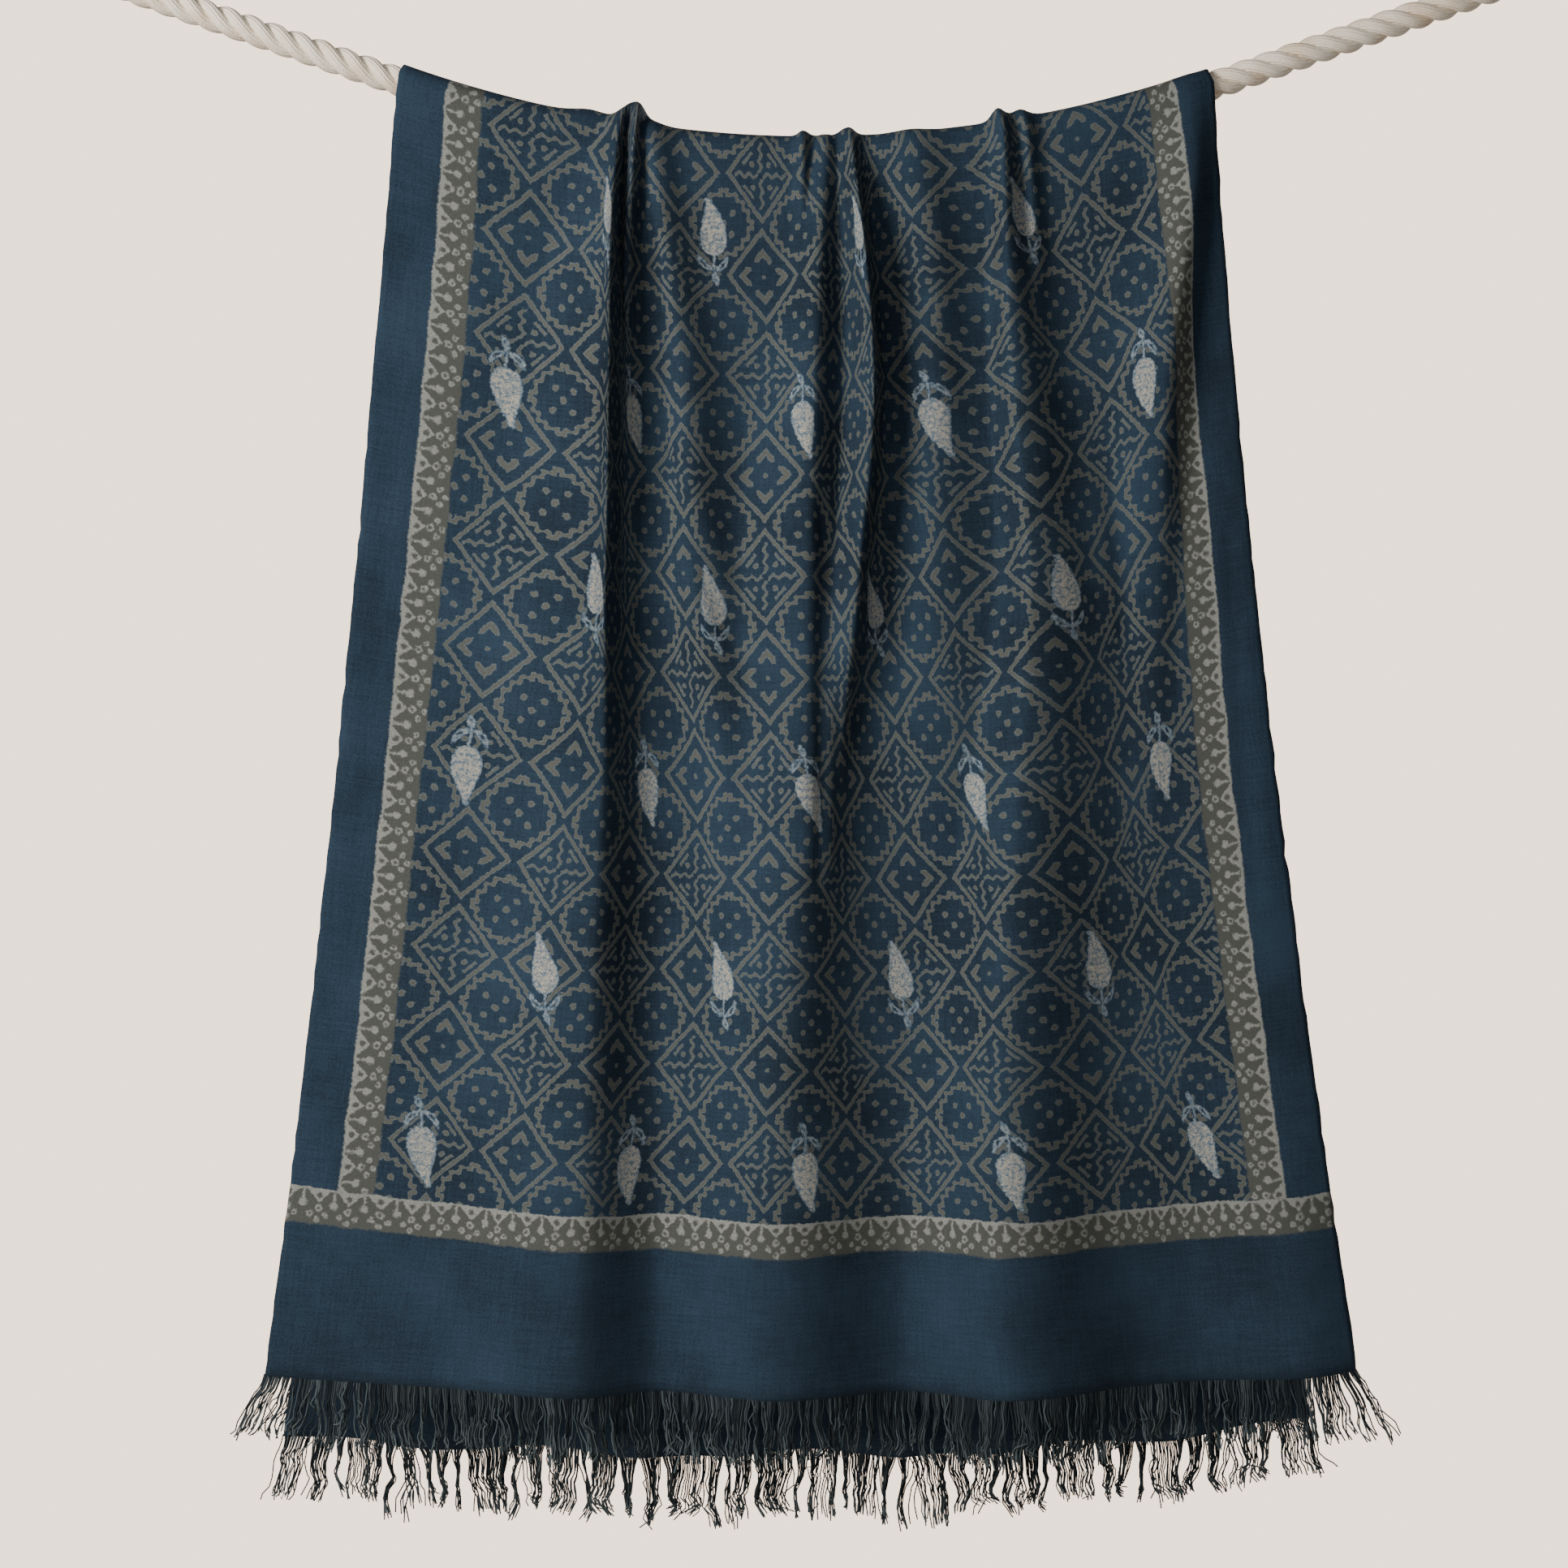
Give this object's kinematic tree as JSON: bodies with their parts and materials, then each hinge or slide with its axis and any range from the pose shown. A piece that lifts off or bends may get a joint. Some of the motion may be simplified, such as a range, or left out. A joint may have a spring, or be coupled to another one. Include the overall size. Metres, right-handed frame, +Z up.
{
  "type": "fringed towel draped over the rope it hangs from",
  "caption": "Wide cotton towel with fringed ends, folded over a short laid rope whose ends are spliced into eyes, hanging in uneven folds.",
  "frame": {"origin": "centre of the rope's left eye, as seen from the front", "axes": "+Z up, +X to the right along the rope as seen from the front, +Y towards the back panel"},
  "size_m": [1.0583, 0.1095, 1.0114],
  "materials": {
    "indigo_cotton": "matt handwoven cotton, indigo with a grey block print",
    "fringe_yarn": "matt cotton yarn, dark indigo grey",
    "rope_cotton": "matt off-white laid cotton"
  },
  "bodies": {
    "root": {"towel_cloth": "indigo_cotton", "front_fringe": "fringe_yarn", "back_fringe": "fringe_yarn", "rope": "rope_cotton"}
  },
  "joints": []
}
